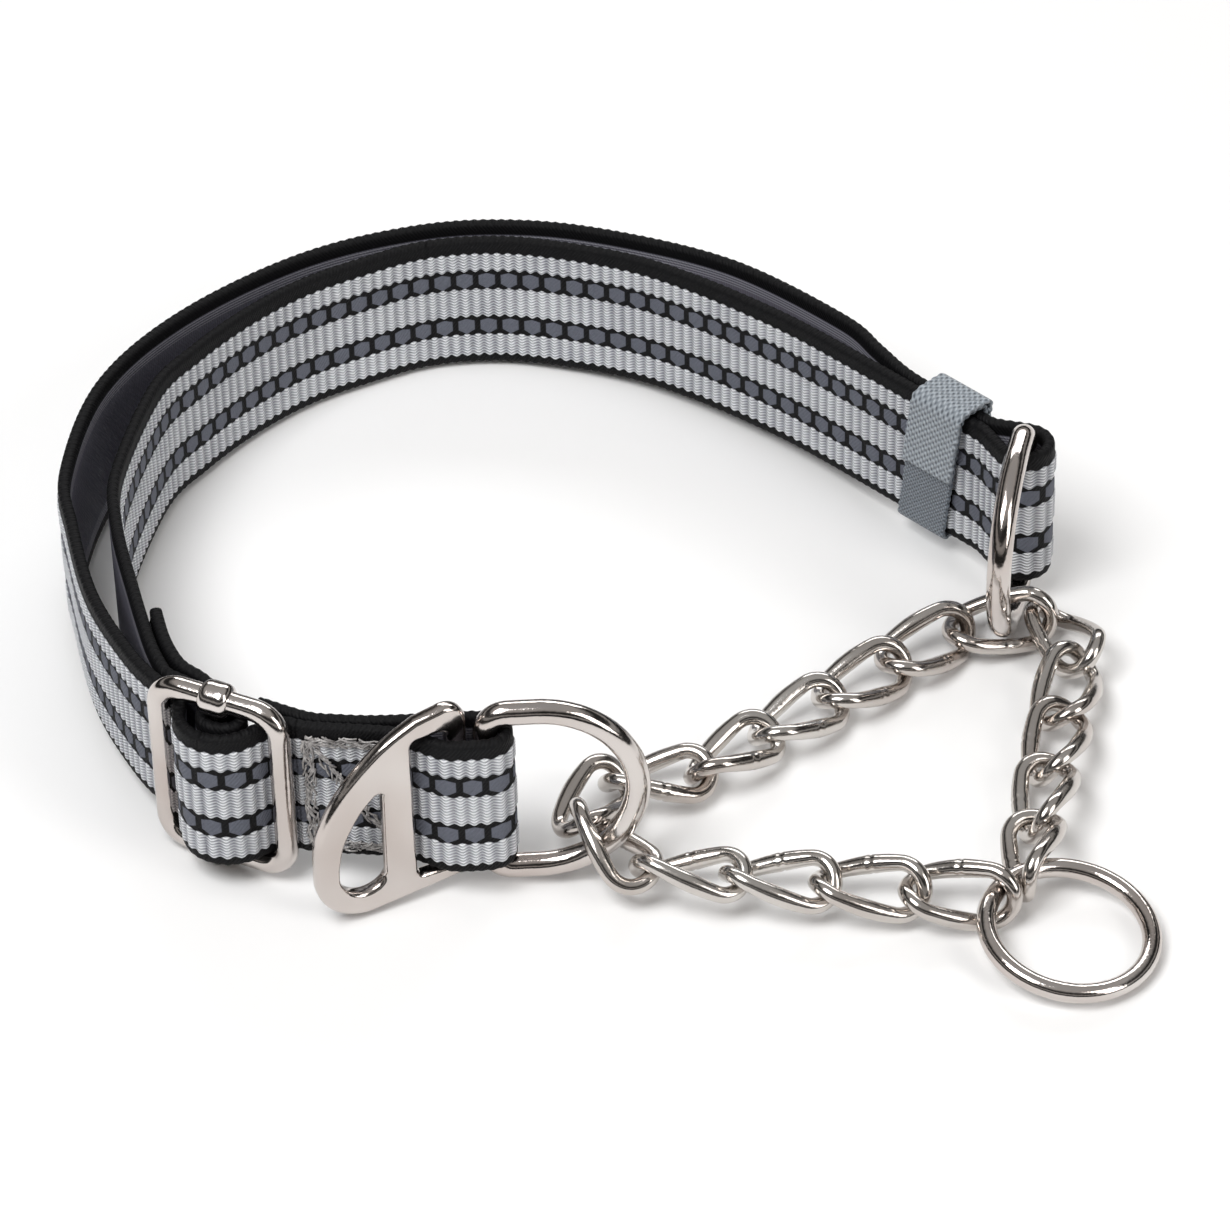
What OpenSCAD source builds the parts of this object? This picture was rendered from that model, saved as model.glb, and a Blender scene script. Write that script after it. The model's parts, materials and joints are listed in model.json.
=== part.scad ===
// Martingale dog collar: a double loop of 25 mm webbing with an adjuster
// slide, a leash plate, two D-rings, a curb chain and a leash ring.
// Millimetres, +Z up. +X is the long way of the collar, +Y is the neck side
// away from the chain. The origin is the middle of the base of the box.

/* [Webbing] */
// Width of the strap
strap_w = 25; // [24:0.5:25]
// Thickness of one layer of strap
strap_t = 1.9; // [1.6:0.1:1.9]
// Angle by which the hardware lifts the front of the strap, in degrees
strap_tilt = 2.36; // [2.2:0.02:2.5]

/* [Rings] */
// Wire diameter of the two D-rings
d_wire = 3.8; // [3.4:0.1:3.8]
// Inner height of a D-ring
d_height = 26; // [25.5:0.5:26]
// Outer wire diameter of the leash ring
o_wire = 3; // [2.6:0.1:3.2]
// Mean diameter of the leash ring
o_mean = 25; // [24.6:0.1:25.4]

/* [Slide] */
// Wire diameter of the adjuster slide
slide_wire = 3.5; // [3.2:0.1:3.5]
// Length of the slide along the strap, wire centre to wire centre
slide_len = 20.5; // [20.5:0.5:22]
// Diameter of its middle bar
slide_bar_d = 3; // [2.4:0.1:3]

/* [Leash plate] */
// Thickness of the plate
plate_t = 2.6; // [2:0.1:2.6]
// Angle of the plate from the strap, in degrees
plate_turn = 26; // [26:1:40]

/* [Chain] */
// Wire diameter of a link
link_wire = 2.5; // [2.2:0.1:2.5]
// Inner length of a link
link_inner = 13.8; // [13.8:0.1:14]
// Outer width of a link
link_width = 10.5; // [10.3:0.1:10.7]
// Twist of a link from end to end, in degrees
link_twist = 90; // [85:1:95]

/* [Hidden] */
LINKS = ["link_k", "link_a1", "link_a2", "link_a3", "link_a4", "link_a5",
         "link_a6", "link_b1", "link_b2", "link_b3", "link_b4", "link_b5",
         "link_c1", "link_c2", "link_c3", "link_c4", "link_c5"];

$fn = 48;
webbing_color = "#8f9096";
grey_color = "#8a929a";
thread_color = "#c9c4bd";
nickel_color = "#cfc8c0";

// Layout in plan: the strap's own frame, before the tilt.
tilt_pivot = [-52, 68, 0];
tilt_axis = [cos(30), sin(30), 0];
slide_at = [-56, -47.8];
slide_turn = -26;
plate_at = [-21, -52.1];
left_ring_at = [-16.4, -52.1];
left_ring_turn = 3;
right_ring_at = [67.1, 15.8];
right_ring_turn = 257;
keeper_at = [56, 26.1];
keeper_turn = -45.5;
// From the middle of the keeper to the middle of each layer in it
keeper_half = 1.05;
d_depth = 22.5;
fold_gap = 2.9;

// ---- paths ----------------------------------------------------------------

function unit(v) = v / norm(v);
function turn(a) = [cos(a), sin(a)];
function plan(at, a, p) =
    at + p[0] * turn(a) + p[1] * [sin(a), -cos(a)];
function spline_point(p0, p1, p2, p3, t) =
    0.5 * (2 * p1 + (p2 - p0) * t + (2 * p0 - 5 * p1 + 4 * p2 - p3) * t * t
           + (3 * p1 - p0 - 3 * p2 + p3) * t * t * t);
function spline(pts, steps) =
    [for (i = [0:len(pts) - 2]) for (k = [0:steps - 1])
        spline_point(pts[max(i - 1, 0)], pts[i], pts[i + 1],
                     pts[min(i + 2, len(pts) - 1)], k / steps),
     pts[len(pts) - 1]];
function arc(c, r, a0, a1, steps) =
    [for (k = [0:steps]) c + r * turn(a0 + (a1 - a0) * k / steps)];
function heading(path, i) =
    unit(path[min(i + 1, len(path) - 1)] - path[max(i - 1, 0)]);
function offset_path(path, by) =
    [for (i = [0:len(path) - 1])
        let (t = heading(path, i)) path[i] + by * [-t[1], t[0]]];
function reversed(list) = [for (i = [len(list) - 1:-1:0]) list[i]];

// The end of the outer layer at the slide, round the neck, the fold round
// the right D-ring and back inside to the sewn end at the slide.
outer_route = [plan(slide_at, slide_turn, [-12, -3.3]), [-70, -33],
               [-76.9, -18.5], [-81.3, -1], [-83.3, 12.5], [-79.3, 35],
               [-67.7, 53.3], [-49.1, 68.9], [-30, 76.6], [-13.4, 77.7],
               [3, 74], [22.3, 65.1], [39.6, 49.6], [45.2, 41.1],
               plan(keeper_at, keeper_turn, [-9, -keeper_half]),
               plan(keeper_at, keeper_turn, [8, -keeper_half])];
inner_route = [plan(keeper_at, keeper_turn, [8, keeper_half]),
               plan(keeper_at, keeper_turn, [-9, keeper_half]),
               [44.7, 36.1], [33.3, 47.4],
               [24.6, 54.8], [15.4, 61.6], [5.8, 67.2], [-5.1, 71],
               [-16.5, 73.2], [-28.4, 72.1], [-39.2, 67.3], [-48.9, 61.5],
               [-57.6, 53.4], [-65, 44], [-70.8, 33.9], [-75.3, 12],
               [-74.4, -1], [-71, -16], [-67.2, -30.5],
               plan(slide_at, slide_turn, [-12, -5.5])];
fold_radius = fold_gap + strap_t / 2;
long_path = concat(spline(outer_route, 6),
                   arc(right_ring_at, fold_radius, 72, -152, 20),
                   spline(inner_route, 6));

// Over the slide's middle bar, in the slide's own plan: x along the strap,
// y outwards. The slide squeezes the strap's edges a little where it passes.
squeeze = 0.3;
weave_route = [[-11.6, -3.25], [-10.2, -3.1], [-8.2, -2.4], [-6.6, 0.2],
               [-5.2, 2.9], [-2.8, 4.8], [0, 5.4], [2.8, 4.8], [5.2, 2.9],
               [6.6, 0.2], [8.2, -2.4], [9.8, -3.1], [10.9, -3.1]];
loop_radius = slide_bar_d / 2 + 0.15 + strap_t / 2;
loop_in = [[-11.4, -5.4], [-7.5, -4.9], [-4.7, -3.2], [-3.1, -1.2]];
loop_out = [[-2.2, -3.5], [-4.6, -5.8], [-7.5, -7.1], [-11.3, -8.3],
            [-16.2, -12.4], [-20.8, -17.8]];

// From the slide through the leash plate's slot, round the left D-ring's bar
// and back behind as the sewn tail.
front_route = [plan(slide_at, slide_turn, [12, -3.1]), [-40, -50.9],
               [-36, -51.3], [-31, -51.9], [-27.4, -52.8], [-22.5, -55.4],
               [-19.5, -55.6], [-16.6, -55.4]];
tail_route = [[-16.8, -48.8], [-22, -48.8], [-28, -49.3], [-34, -49.4],
              [-38.6, -49], plan(slide_at, slide_turn, [12, -5.3]),
              plan(slide_at, slide_turn, [5.5, -5.3])];
front_path = concat(spline(front_route, 6),
                    arc(left_ring_at, 3.3, -85, 85, 16),
                    spline(tail_route, 4));

// ---- solids ---------------------------------------------------------------

module lifted() {
    translate(tilt_pivot)
        rotate(a = -strap_tilt, v = tilt_axis)
            translate(-tilt_pivot)
                children();
}

// Centres the whole part over the origin, standing on z = 0.
module stood() {
    translate([0.6, 0.3, 0.1])
        children();
}

module ribbon(path, t, h) {
    linear_extrude(h)
        polygon(concat(offset_path(path, t / 2),
                       reversed(offset_path(path, -t / 2))));
}

module in_slide_plan() {
    translate([slide_at[0], slide_at[1], 0])
        rotate([0, 0, slide_turn])
            mirror([0, 1, 0])
                children();
}

module rod(from, to, d) {
    v = to - from;
    len_v = norm(v);
    translate(from)
        rotate([0, acos(v[2] / len_v), atan2(v[1], v[0])])
            cylinder(h = len_v, d = d);
}

// A quarter of a torus in the XZ plane, from +X (a0) round towards +Z.
module bend(at, r, a0, sweep, d) {
    translate(at)
        rotate([90, 0, 0])
            rotate([0, 0, a0])
                rotate_extrude(angle = sweep)
                    translate([r, 0])
                        circle(d = d, $fn = 32);
}

// ---- webbing --------------------------------------------------------------

module long_strap() {
    color(webbing_color)
        lifted()
            ribbon(long_path, strap_t, strap_w);
}

module front_strap() {
    color(webbing_color)
        lifted()
            ribbon(front_path, strap_t, strap_w);
}

module slide_weave() {
    color(webbing_color)
        lifted()
            in_slide_plan()
                translate([0, 0, squeeze])
                    ribbon(spline(weave_route, 5), strap_t,
                           strap_w - squeeze);
}

module end_loop() {
    path = concat(spline(loop_in, 4), arc([0, 0], loop_radius, 180, -90, 18),
                  spline(loop_out, 4));
    color(webbing_color)
        lifted()
            in_slide_plan()
                translate([0, 0, squeeze])
                    ribbon(path, strap_t, strap_w - squeeze - 0.1);
}

// Box and cross of thread through the front strap and its sewn tail.
module box_stitch() {
    a = [-43.4, -50.4];
    b = [-31, -51.9];
    run = norm(b - a);
    proud = 0.3;
    thread = 0.7;
    low = 2.5;
    high = strap_w - 2.5;
    slope = atan2(high - low, run - 2);
    color(thread_color)
        lifted()
            translate([a[0], a[1], 0])
                rotate([0, 0, atan2(b[1] - a[1], b[0] - a[0])])
                    translate([1, -strap_t / 2, 0])
                        rotate([90, 0, 0])
                            linear_extrude(proud) {
                                for (z = [low, high - thread])
                                    translate([0, z])
                                        square([run - 2, thread]);
                                for (x = [0, run - 2 - thread])
                                    translate([x, low])
                                        square([thread, high - low]);
                                for (s = [0, 1])
                                    translate([0, s ? high : low])
                                        rotate(s ? -slope : slope)
                                            translate([1, -thread / 2])
                                                square([norm([run - 2, high - low]) - 2,
                                                        thread]);
                            }
}

// Two bar tacks that hold the loop's end to the inner layer.
module end_stitch() {
    color(thread_color)
        lifted()
            in_slide_plan()
                for (i = [3, 4]) {
                    t = heading(loop_out, i);
                    p = loop_out[i] + (strap_t / 2 + 0.1) * [-t[1], t[0]];
                    translate([p[0], p[1], 3])
                        rotate([0, 0, atan2(t[1], t[0])])
                            translate([-0.4, 0, 0])
                                cube([0.8, 0.3, strap_w - 6]);
                }
}

// ---- keeper ---------------------------------------------------------------

module in_keeper_plan() {
    translate([keeper_at[0], keeper_at[1], 0])
        rotate([0, 0, keeper_turn])
            children();
}

keeper_len = 10;
keeper_t = 1.2;
keeper_in = [2 * keeper_half + strap_t + 0.6, strap_w + 0.9];

module keeper_band() {
    outer = keeper_in + [2 * keeper_t, 2 * keeper_t];
    color(grey_color)
        lifted()
            in_keeper_plan()
                translate([-keeper_len / 2, 0, strap_w / 2])
                    rotate([90, 0, 90])
                        linear_extrude(keeper_len)
                            difference() {
                                square(outer, center = true);
                                square(keeper_in, center = true);
                            }
}

module keeper_overlap() {
    color(grey_color)
        lifted()
            in_keeper_plan()
                translate([-keeper_len / 2, -keeper_in[0] / 2 - keeper_t - 0.9,
                           strap_w / 2])
                    cube([keeper_len, 0.9, keeper_in[1] / 2 + keeper_t - 0.6]);
}

// ---- slide ----------------------------------------------------------------

slide_h = strap_w + 1 + slide_wire;
slide_corner = 4;
slide_z = strap_w / 2 + 0.3;

module slide_frame() {
    x = slide_len / 2;
    z = slide_h / 2;
    c = slide_corner;
    color(nickel_color)
        lifted()
            translate([0, 0, slide_z])
                in_slide_plan() {
                    for (s = [-1, 1]) {
                        rod([s * x, 0, c - z], [s * x, 0, z - c], slide_wire);
                        rod([c - x, 0, s * z], [x - c, 0, s * z], slide_wire);
                    }
                    for (q = [0:3])
                        bend([(q == 0 || q == 3 ? 1 : -1) * (x - c), 0,
                              (q < 2 ? 1 : -1) * (z - c)], c, 90 * q, 90,
                             slide_wire);
                }
}

module slide_bar() {
    z = slide_h / 2;
    sleeve_len = 4.6;
    color(nickel_color)
        lifted()
            translate([0, 0, slide_z])
                in_slide_plan()
                    difference() {
                        union() {
                            rod([0, 0, -z], [0, 0, z], slide_bar_d);
                            for (s = [-1, 1])
                                rod([-sleeve_len / 2, 0, s * z],
                                    [sleeve_len / 2, 0, s * z],
                                    slide_wire + (s > 0 ? 1.6 : 0.8));
                        }
                        for (s = [-1, 1])
                            rod([-sleeve_len, 0, s * z],
                                [sleeve_len, 0, s * z], slide_wire + 0.1);
                    }
}

// ---- leash plate ----------------------------------------------------------

plate_drop = -4.6;

// Outline in the plate's own plan: x away from the slot bar, y up from its
// lowest point.
plate_outline = concat(
    arc([0.2, 3.6], 1.9, 180, 260, 4),
    arc([15.2, 8.4], 8.4, 270, 360, 8),
    spline([[23.6, 9.8], [22.9, 16.8], [19, 24], [12.4, 30.4],
            [6.4, 33.7]], 4),
    arc([1.6, 31.2], 3.4, 70, 180, 6));
plate_hole = concat(
    arc([15.7, 8.2], 4, 225, 365, 8),
    spline([[19.6, 10.2], [18.6, 14.6], [15.9, 19.4], [13.4, 22]], 3),
    [[12.2, 21.4], [12.2, 6.4]]);

module leash_plate() {
    color(nickel_color)
        lifted()
            translate([plate_at[0], plate_at[1], plate_drop])
                rotate([0, 0, 180 + plate_turn])
                    translate([0, plate_t / 2, 0])
                        rotate([90, 0, 0])
                            linear_extrude(plate_t)
                                difference() {
                                    polygon(plate_outline);
                                    polygon(plate_hole);
                                    translate([1.6, 4.1])
                                        square([5.6, strap_w + 1]);
                                }
}

// ---- D-rings and leash ring -------------------------------------------------

module d_ring(at, a) {
    r = (d_height + d_wire) / 2;
    c = 3.5;
    x = d_depth - r;
    color(nickel_color)
        lifted()
            translate([at[0], at[1], strap_w / 2])
                rotate([0, 0, a]) {
                    rod([0, 0, c - r], [0, 0, r - c], d_wire);
                    for (s = [-1, 1])
                        rod([c, 0, s * r], [x, 0, s * r], d_wire);
                    bend([c, 0, r - c], c, 90, 90, d_wire);
                    bend([c, 0, c - r], c, 180, 90, d_wire);
                    bend([x, 0, 0], r, -90, 180, d_wire);
                }
}

module left_d_ring() {
    d_ring(left_ring_at, left_ring_turn);
}

module right_d_ring() {
    d_ring(right_ring_at, right_ring_turn);
}

leash_ring_at = [69.8, -66.5, 3.2];

module leash_ring() {
    color(nickel_color)
        translate(leash_ring_at)
            rotate([0, 0, 150])
                rotate([0, -7.6, 0])
                    rotate_extrude()
                        translate([o_mean / 2, 0])
                            circle(d = o_wire, $fn = 32);
}

// ---- chain ------------------------------------------------------------------

link_long = link_inner + link_wire;
link_r = (link_width - link_wire) / 2;
link_flat = link_long - 2 * link_r;
link_rings = 40;
link_sides = 8;

// A stadium, walked by its length q from 0 to the whole way round.
function link_flat_point(q) =
    let (half = 180 * link_r * PI / 180, a = link_flat)
    q < a ? [q - a / 2, -link_r]
    : q < a + half ? let (t = (q - a) / link_r * 180 / PI)
        [a / 2 + link_r * sin(t), -link_r * cos(t)]
    : q < 2 * a + half ? [a / 2 - (q - a - half), link_r]
    : let (t = (q - 2 * a - half) / link_r * 180 / PI)
        [-a / 2 - link_r * sin(t), link_r * cos(t)];
function twisted(p) =
    let (w = p[0] / link_long * link_twist) [p[0], p[1] * cos(w), p[1] * sin(w)];
link_way = 2 * link_flat + 2 * PI * link_r;
link_line = [for (i = [0:link_rings - 1])
    twisted(link_flat_point(i * link_way / link_rings))];

// The link lies along its own X. Each ring's up is the way that the twisted
// flat's normal points there.
module curb_link() {
    n = link_rings;
    m = link_sides;
    pts = [for (i = [0:n - 1])
        let (p = link_line[i],
             t = unit(link_line[(i + 1) % n] - link_line[(i + n - 1) % n]),
             w = p[0] / link_long * link_twist,
             up0 = [0, -sin(w), cos(w)],
             side = unit(cross(t, up0)),
             up = cross(side, t))
        for (j = [0:m - 1])
            p + link_wire / 2 * (cos(360 * (j + 0.5) / m) * side
                                 + sin(360 * (j + 0.5) / m) * up)];
    faces = [for (i = [0:n - 1]) for (j = [0:m - 1])
        [i * m + j, i * m + (j + 1) % m, ((i + 1) % n) * m + (j + 1) % m,
         ((i + 1) % n) * m + j]];
    polyhedron(pts, faces);
}

// A link's pose is its centre, then its heading, rise and roll in degrees.
module posed_link(pose) {
    color(nickel_color)
        translate([pose[0], pose[1], pose[2]])
            rotate([0, 0, pose[3]])
                rotate([0, -pose[4], 0])
                    rotate([pose[5], 0, 0])
                        curb_link();
}

// A straight arm of four links runs evenly from its first pose to its last.
function arm(first, last) = [for (i = [0:3]) first + (last - first) * i / 3];
corner_k = [-0.7, -40.7, 5.7, 65, -6, 3];
corner_a1 = [8.9, -33.8, 4, 10, 0, -8];
arm_a = arm([20.5, -28.4, 4.3, 41, 0, -11], [51.3, -3.3, 4.2, 37, 0, 24]);
corner_a6 = [63, 1.6, 4.3, 9, 5, 29];
corner_b1 = [73.1, -1.2, 4.1, -69, 8, 3];
arm_b = arm([72.7, -13.6, 4.2, -106, 0, -3], [65, -51.4, 5.1, -97, 4, 44]);
arm_c = arm([53.8, -60.6, 4.9, 174, 1, -31], [13.6, -56.4, 5.6, 173, 1, 20]);
corner_c5 = [1.8, -51.7, 6.7, 131, 14, 26];
link_poses = concat([corner_k, corner_a1], arm_a, [corner_a6, corner_b1],
                    arm_b, arm_c, [corner_c5]);

// ---- nodes ------------------------------------------------------------------

stood() long_strap();
stood() front_strap();
stood() slide_weave();
stood() end_loop();
stood() box_stitch();
stood() end_stitch();
stood() keeper_band();
stood() keeper_overlap();
stood() slide_frame();
stood() slide_bar();
stood() leash_plate();
stood() left_d_ring();
stood() right_d_ring();
stood() leash_ring();
for (i = [0:len(LINKS) - 1])
    stood() posed_link(link_poses[i]);
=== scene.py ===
"""Martingale dog collar: patterned webbing, adjuster slide, keeper, leash
plate, two D-rings, curb chain and leash ring.

Lengths are in millimetres until a mesh is written, which is in metres.
"""

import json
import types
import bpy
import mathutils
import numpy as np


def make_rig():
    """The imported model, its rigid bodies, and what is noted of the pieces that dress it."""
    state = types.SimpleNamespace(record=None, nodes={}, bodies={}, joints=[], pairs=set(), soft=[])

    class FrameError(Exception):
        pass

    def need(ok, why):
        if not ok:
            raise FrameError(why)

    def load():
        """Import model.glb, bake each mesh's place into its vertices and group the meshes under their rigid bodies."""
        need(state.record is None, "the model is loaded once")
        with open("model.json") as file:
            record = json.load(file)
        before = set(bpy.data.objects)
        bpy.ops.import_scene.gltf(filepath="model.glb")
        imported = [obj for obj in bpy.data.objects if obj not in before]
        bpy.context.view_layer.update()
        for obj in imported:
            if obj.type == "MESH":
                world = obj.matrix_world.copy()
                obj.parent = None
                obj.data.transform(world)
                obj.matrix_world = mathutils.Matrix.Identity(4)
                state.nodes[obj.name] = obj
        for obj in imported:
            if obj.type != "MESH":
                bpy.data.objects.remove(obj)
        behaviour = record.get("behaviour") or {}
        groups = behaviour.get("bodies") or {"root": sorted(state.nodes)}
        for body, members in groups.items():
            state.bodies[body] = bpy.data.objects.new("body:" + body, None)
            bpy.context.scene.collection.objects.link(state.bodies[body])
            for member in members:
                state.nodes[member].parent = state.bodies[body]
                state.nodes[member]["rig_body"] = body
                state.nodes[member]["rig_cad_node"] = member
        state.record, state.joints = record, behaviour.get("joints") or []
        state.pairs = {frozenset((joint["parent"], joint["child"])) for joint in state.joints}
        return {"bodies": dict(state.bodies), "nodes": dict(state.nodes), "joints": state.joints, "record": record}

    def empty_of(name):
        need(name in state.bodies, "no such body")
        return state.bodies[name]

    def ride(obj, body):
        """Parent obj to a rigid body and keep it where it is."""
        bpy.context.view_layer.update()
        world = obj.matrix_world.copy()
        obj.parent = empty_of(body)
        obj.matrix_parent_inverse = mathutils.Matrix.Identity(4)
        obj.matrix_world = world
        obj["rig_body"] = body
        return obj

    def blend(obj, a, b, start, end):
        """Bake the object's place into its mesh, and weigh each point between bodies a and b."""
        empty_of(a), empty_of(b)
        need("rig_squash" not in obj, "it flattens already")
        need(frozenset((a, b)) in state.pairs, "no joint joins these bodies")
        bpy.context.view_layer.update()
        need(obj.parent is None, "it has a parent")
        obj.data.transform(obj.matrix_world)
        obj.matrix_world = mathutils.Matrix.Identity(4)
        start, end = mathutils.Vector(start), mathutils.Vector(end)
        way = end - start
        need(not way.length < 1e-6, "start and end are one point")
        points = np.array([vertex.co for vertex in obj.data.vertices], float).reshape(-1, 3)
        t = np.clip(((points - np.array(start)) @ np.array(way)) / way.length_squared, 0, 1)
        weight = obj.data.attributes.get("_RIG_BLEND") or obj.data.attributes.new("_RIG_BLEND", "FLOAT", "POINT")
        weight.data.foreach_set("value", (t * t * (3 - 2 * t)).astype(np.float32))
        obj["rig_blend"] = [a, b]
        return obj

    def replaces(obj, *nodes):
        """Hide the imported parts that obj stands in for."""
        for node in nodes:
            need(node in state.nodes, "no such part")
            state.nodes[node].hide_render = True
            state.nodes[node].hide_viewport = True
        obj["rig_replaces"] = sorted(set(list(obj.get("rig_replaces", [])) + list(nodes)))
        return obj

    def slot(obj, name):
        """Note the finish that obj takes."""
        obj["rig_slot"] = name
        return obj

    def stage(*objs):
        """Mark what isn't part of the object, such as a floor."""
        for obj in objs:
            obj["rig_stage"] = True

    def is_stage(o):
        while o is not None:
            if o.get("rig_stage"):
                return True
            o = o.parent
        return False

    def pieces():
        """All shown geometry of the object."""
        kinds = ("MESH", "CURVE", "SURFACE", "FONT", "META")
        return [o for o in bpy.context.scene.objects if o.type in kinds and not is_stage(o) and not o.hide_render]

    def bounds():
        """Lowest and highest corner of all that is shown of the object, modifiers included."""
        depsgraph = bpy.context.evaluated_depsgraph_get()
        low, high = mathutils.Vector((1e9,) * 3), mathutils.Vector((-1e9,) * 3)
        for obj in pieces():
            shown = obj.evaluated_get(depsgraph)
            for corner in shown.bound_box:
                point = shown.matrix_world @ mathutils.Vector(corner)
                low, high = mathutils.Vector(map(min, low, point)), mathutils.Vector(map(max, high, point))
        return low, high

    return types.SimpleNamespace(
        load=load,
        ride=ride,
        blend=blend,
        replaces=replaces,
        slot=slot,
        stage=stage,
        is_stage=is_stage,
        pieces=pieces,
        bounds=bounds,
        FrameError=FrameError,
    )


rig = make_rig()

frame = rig.load()

import json
import logging
import math
import random
from dataclasses import dataclass
from enum import Enum
from typing import Callable, Iterable, Sequence

import bmesh
import bpy
import numpy as np
from mathutils import Matrix, Vector

log = logging.getLogger("collar")

MM = 0.001
STRAP_WIDTH = 25.0
STRAP_THICK = 1.9
HEX_PITCH = 3.77
RIB_PITCH = HEX_PITCH / 2
Point2 = tuple[float, float]
Point3 = tuple[float, float, float]
Colour = Point3
Material = bpy.types.Material
Object = bpy.types.Object
Socket = bpy.types.NodeSocket
BMesh = bmesh.types.BMesh
WIRE_SIDES = 28
UV_SCALE = 100.0


def turned(degrees: float, axis: str | Vector) -> Matrix:
    """A turn about an axis."""
    return Matrix.Rotation(math.radians(degrees), 4, axis)


def bell(x: float, width: float) -> float:
    """A smooth bump that is 1 where x is 0."""
    return math.exp(-((x / width) ** 2))


def run_along(points: np.ndarray) -> np.ndarray:
    """The length run up to each point of a polyline."""
    steps = np.linalg.norm(np.diff(points, axis=0), axis=1)
    return np.concatenate([[0], np.cumsum(steps)])


# ---- layout ----


@dataclass(frozen=True)
class Stance:
    """How the strap's own frame stands in the part's frame."""

    pivot: Vector = Vector((-52.0, 68.0, 0.0))
    axis_degrees: float = 30.0
    tilt_degrees: float = -2.36
    shift: Vector = Vector((0.6, 0.3, 0.1))

    def matrix(self) -> Matrix:
        """The strap frame to the part's frame, both in millimetres."""
        a = math.radians(self.axis_degrees)
        axis = Vector((math.cos(a), math.sin(a), 0.0))
        turn = turned(self.tilt_degrees, axis)
        lift = Matrix.Translation(self.shift + self.pivot)
        return lift @ turn @ Matrix.Translation(-self.pivot)


STANCE = Stance()
LIFT = STANCE.matrix()


@dataclass(frozen=True)
class PlanFrame:
    """A local plan: x along the strap, y outwards from the neck."""

    at: Point2
    turn: float

    def point(self, x: float, y: float) -> Point2:
        """A local point in the strap's plan."""
        a = math.radians(self.turn)
        return (
            self.at[0] + x * math.cos(a) + y * math.sin(a),
            self.at[1] + x * math.sin(a) - y * math.cos(a),
        )

    def matrix(self, z: float) -> Matrix:
        """Local x, y, z at height z to the part's frame."""
        flip = Matrix.Diagonal((1.0, -1.0, 1.0, 1.0))
        place = Matrix.Translation((self.at[0], self.at[1], z))
        return LIFT @ place @ turned(self.turn, "Z") @ flip


SLIDE = PlanFrame((-56.0, -47.8), -26.0)
KEEPER = PlanFrame((56.0, 26.1), -45.5)
PLATE_AT = (-21.0, -52.1)
PLATE_TURN = 26.0
LEFT_RING_AT = (-16.4, -52.1)
RIGHT_RING_AT = (67.1, 15.8)


def spline(points: Sequence[Point2], steps: int = 12) -> list[Point2]:
    """A Catmull-Rom curve through the points.

    Args:
        points: The points that the curve passes.
        steps: Samples in each stretch.

    Returns:
        The samples, ends included.
    """
    p = [np.array(q, float) for q in points]
    out = []
    for i in range(len(p) - 1):
        a, b, c, d = p[max(i - 1, 0)], p[i], p[i + 1], p[min(i + 2, len(p) - 1)]
        for k in range(steps):
            t = k / steps
            square, cube = 2 * a - 5 * b + 4 * c - d, 3 * b - a - 3 * c + d
            out.append(0.5 * (2 * b + (c - a) * t + square * t**2 + cube * t**3))
    out.append(p[-1])
    return [(float(q[0]), float(q[1])) for q in out]


def arc(at: Point2, r: float, start: float, end: float, steps: int) -> list[Point2]:
    """Points on a circle from one angle to another.

    Args:
        at: The circle's centre.
        r: Its radius.
        start: First angle in degrees.
        end: Last angle in degrees.
        steps: Steps between them.

    Returns:
        The points, both ends included.
    """
    span = end - start
    angles = [math.radians(start + span * k / steps) for k in range(steps + 1)]
    return [(at[0] + r * math.cos(a), at[1] + r * math.sin(a)) for a in angles]


class StrapLine:
    """The centre line of the whole strap in plan, as one even polyline."""

    closest = 0.15
    smoothing_rounds = 6

    def __init__(self, points: Sequence[Point2], step: float) -> None:
        """Evens out the points.

        Args:
            points: A dense polyline from the tail to the fixed end.
            step: Distance between the kept samples.
        """
        p = np.array(points, float)
        keep = [0]
        for i in range(1, len(p)):
            if np.linalg.norm(p[i] - p[keep[-1]]) > self.closest:
                keep.append(i)
        p = p[keep]
        run = run_along(p)
        count = int(run[-1] / step)
        self.s = np.linspace(0, run[-1], count)
        xy = np.column_stack([np.interp(self.s, run, p[:, k]) for k in (0, 1)])
        for _ in range(self.smoothing_rounds):
            xy[1:-1] = 0.25 * xy[:-2] + 0.5 * xy[1:-1] + 0.25 * xy[2:]
        self.xy = xy
        tangent = np.gradient(xy, axis=0)
        self.tangent = tangent / np.linalg.norm(tangent, axis=1)[:, None]

    def nearest(self, point: Point2, low: int = 0, high: int | None = None) -> int:
        """The sample nearest to a plan point, between two samples."""
        part = self.xy[low:high]
        return low + int(np.argmin(np.linalg.norm(part - np.array(point), axis=1)))


# ---- weave pattern, shared by the relief and the materials ----


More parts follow.
